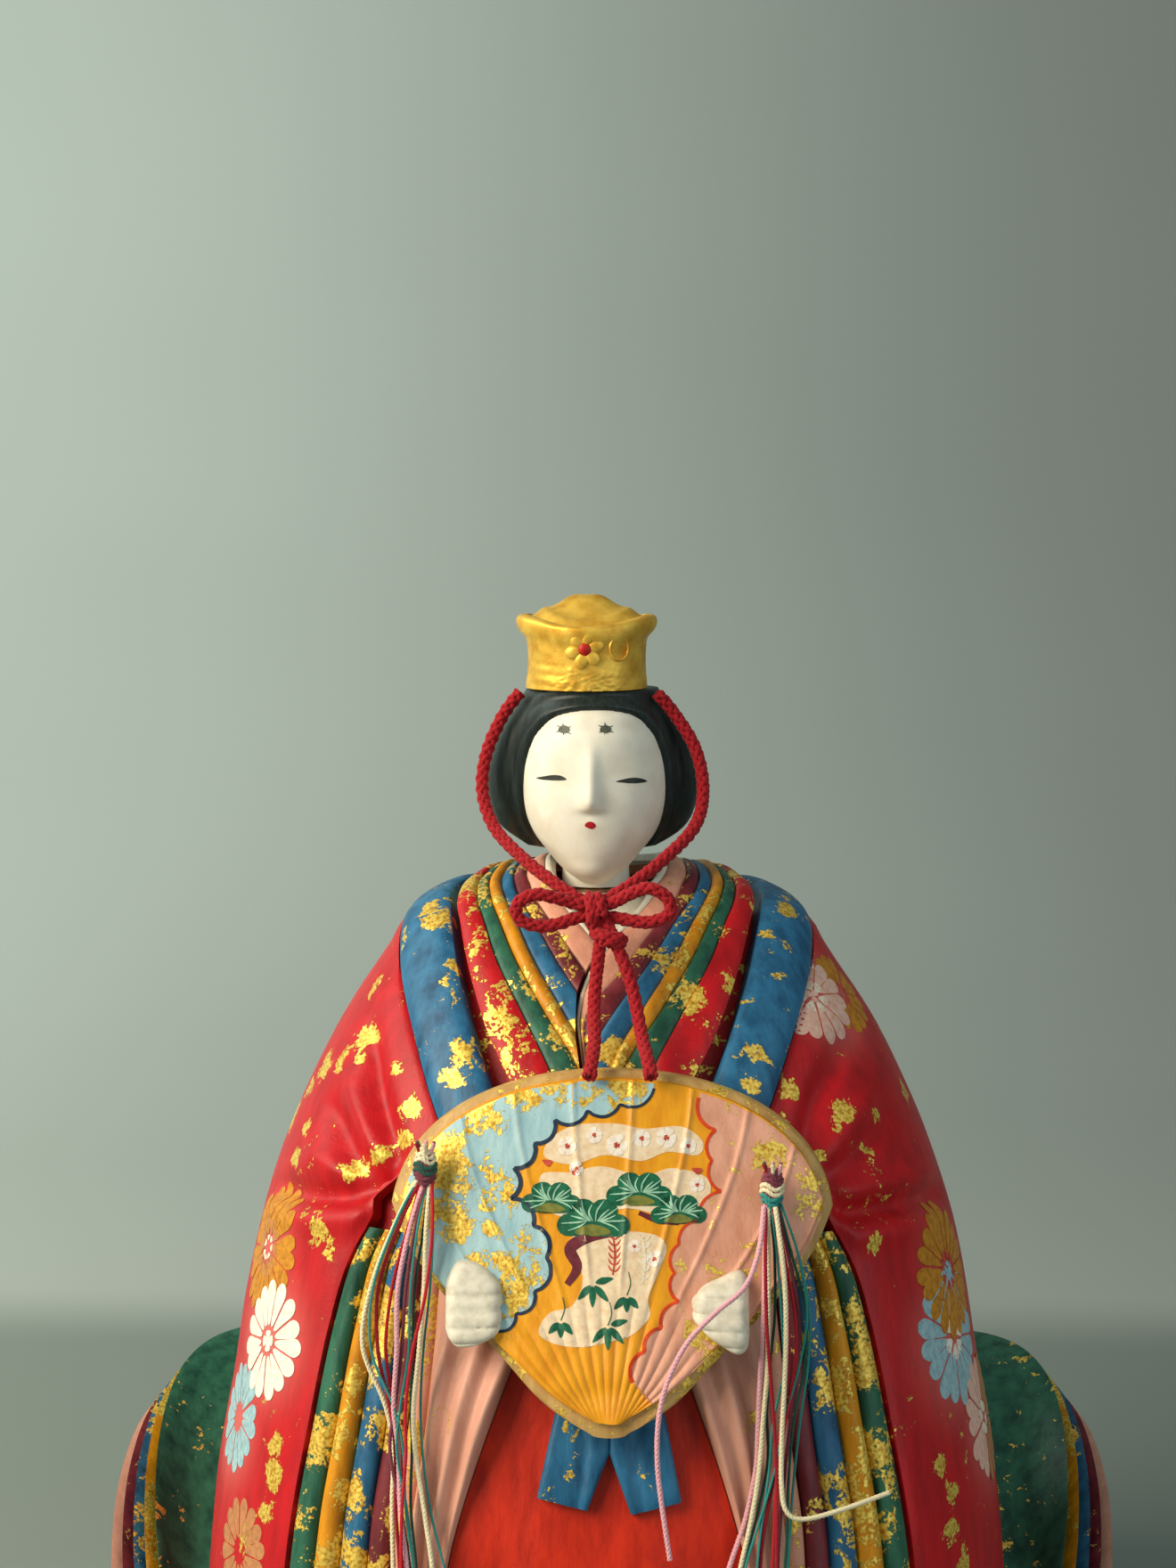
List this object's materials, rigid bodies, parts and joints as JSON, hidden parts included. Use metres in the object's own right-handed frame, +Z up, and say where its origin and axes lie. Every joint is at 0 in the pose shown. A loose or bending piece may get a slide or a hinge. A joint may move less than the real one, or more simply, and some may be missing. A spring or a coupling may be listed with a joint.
{
  "type": "hina doll",
  "caption": "Seated court-lady doll of painted clay in layered robes, with spread fan, crown, tied cord, thread tassels and a turning head.",
  "frame": {"origin": "middle of the flat underside, on the surface that the doll stands on", "axes": "+Z up; the doll faces -Y; +X is the viewer's right when looking at its face"},
  "size_m": [0.1642, 0.1187, 0.1756],
  "materials": {
    "clay_red": "satin paint over fired clay, moulded folds, scattered gold leaf",
    "clay_blue": "satin paint over clay",
    "clay_green": "satin paint over clay",
    "clay_yellow": "satin paint over clay",
    "clay_maroon": "satin paint over clay",
    "clay_salmon": "satin paint over clay",
    "clay_pink": "satin paint over clay",
    "clay_white": "matte white over clay",
    "clay_vermilion": "satin paint over clay",
    "clay_fan": "painted scene in many colours with gold leaf",
    "clay_gold": "gold paint over clay",
    "clay_hair": "satin black",
    "crimson_cord": "braided cord",
    "threads": "embroidery threads in several colours",
    "wood": "bare softwood"
  },
  "bodies": {
    "robe": {"robe_body": "clay_red", "base_plate": "wood", "neck_socket": "wood", "sleeve_left": "clay_red", "sleeve_right": "clay_red", "sleeve_edge_green_left": "clay_green", "sleeve_edge_green_right": "clay_green", "sleeve_edge_yellow_left": "clay_yellow", "sleeve_edge_yellow_right": "clay_yellow", "sleeve_edge_blue_left": "clay_blue", "sleeve_edge_blue_right": "clay_blue", "sleeve_edge_maroon_left": "clay_maroon", "sleeve_edge_maroon_right": "clay_maroon", "sleeve_edge_salmon_left": "clay_salmon", "sleeve_edge_salmon_right": "clay_salmon", "inner_sleeve_left": "clay_pink", "inner_sleeve_right": "clay_pink", "hakama": "clay_vermilion", "sash_ends": "clay_blue", "hand_left": "clay_white", "hand_right": "clay_white", "fan": "clay_fan", "fan_back": "clay_gold", "shoulder_band_left": "clay_blue", "shoulder_band_right": "clay_blue", "collar_white": "clay_white", "collar_salmon": "clay_salmon", "collar_maroon": "clay_maroon", "collar_blue": "clay_blue", "collar_yellow": "clay_yellow", "collar_green": "clay_green", "collar_red": "clay_red", "train_green": "clay_green", "train_yellow": "clay_yellow", "train_blue": "clay_blue", "train_maroon": "clay_maroon", "train_pink": "clay_pink", "hair_fall": "clay_hair"},
    "head": {"head": "clay_white", "hair_cap": "clay_hair", "neck_peg": "wood", "crown": "clay_gold", "crown_dome": "clay_gold", "crown_flower": "clay_gold", "crown_jewel": "clay_vermilion", "chin_cord_left": "crimson_cord", "chin_cord_right": "crimson_cord", "bow_loop_left": "crimson_cord", "bow_loop_right": "crimson_cord", "tail_left": "crimson_cord", "tail_right": "crimson_cord", "bow_knot": "crimson_cord", "tail_knot": "crimson_cord"},
    "tassel_left": {"tassel_left": "threads"},
    "tassel_right": {"tassel_right": "threads", "thread_pink": "threads", "thread_cream": "threads"}
  },
  "joints": [
    {"name": "head_turn", "type": "hinge", "parent": "robe", "child": "head", "pos_m": [-0.0017, -0.004, 0.13], "axis": [0, 0, 1], "range_deg": [-12, 12]},
    {"name": "tassel_left_swing", "type": "hinge", "parent": "robe", "child": "tassel_left", "pos_m": [-0.0245, -0.0458, 0.0955], "axis": [-1, 0, 0], "range_deg": [0, 30]},
    {"name": "tassel_right_swing", "type": "hinge", "parent": "robe", "child": "tassel_right", "pos_m": [0.0245, -0.0472, 0.0932], "axis": [-1, 0, 0], "range_deg": [0, 30]}
  ]
}
